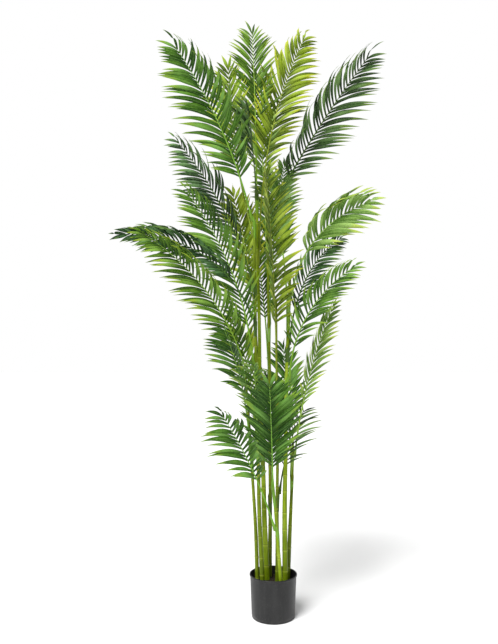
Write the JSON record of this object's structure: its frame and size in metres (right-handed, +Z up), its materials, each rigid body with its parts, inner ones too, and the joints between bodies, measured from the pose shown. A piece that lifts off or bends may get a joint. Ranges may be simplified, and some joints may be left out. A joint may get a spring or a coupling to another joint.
{
  "type": "potted palm",
  "caption": "Tall slender feather palm in a plain tapered nursery pot: several thin stems rise from the soil and carry arching comb-like fronds.",
  "frame": {"origin": "centre of the pot's underside, on the surface it stands on", "axes": "+Z up the stems, +X to the right and -Y towards the viewer in front"},
  "size_m": [0.9155, 0.6871, 2.1353],
  "materials": {
    "pot_black": "satin",
    "soil_dark": "matte",
    "stem_bright": "satin",
    "stem_olive": "satin",
    "leaf_deep": "satin",
    "leaf_mid": "satin",
    "leaf_fresh": "satin",
    "leaf_yellow": "satin"
  },
  "bodies": {
    "root": {"pot": "pot_black", "soil": "soil_dark", "cane_1": "stem_olive", "cane_2": "stem_olive", "cane_3": "stem_bright", "cane_4": "stem_olive", "cane_5": "stem_bright", "cane_6": "stem_olive", "cane_7": "stem_bright", "cane_8": "stem_olive", "frond_low_front": "leaf_mid", "frond_low_left_centre": "leaf_fresh", "frond_low_left": "leaf_mid", "frond_low_right": "leaf_deep", "frond_low_back": "leaf_deep", "frond_lower_left": "leaf_mid", "frond_lower_right": "leaf_fresh", "frond_lower_back": "leaf_mid", "frond_lower_left_back": "leaf_yellow", "frond_middle_left_front": "leaf_mid", "frond_middle_far_left": "leaf_deep", "frond_middle_left": "leaf_mid", "frond_middle_right": "leaf_fresh", "frond_middle_right_front": "leaf_mid", "frond_middle_right_back": "leaf_deep", "frond_middle_back": "leaf_mid", "frond_upper_front": "leaf_yellow", "frond_upper_left": "leaf_deep", "frond_upper_left_back": "leaf_yellow", "frond_upper_back": "leaf_fresh", "frond_upper_far_back": "leaf_mid", "frond_crown_front": "leaf_deep", "frond_crown_left": "leaf_mid", "frond_crown_right": "leaf_deep", "frond_crown_centre": "leaf_mid", "frond_crown_left_back": "leaf_yellow", "frond_crown_right_back": "leaf_yellow", "frond_crown_back": "leaf_fresh"}
  },
  "joints": []
}
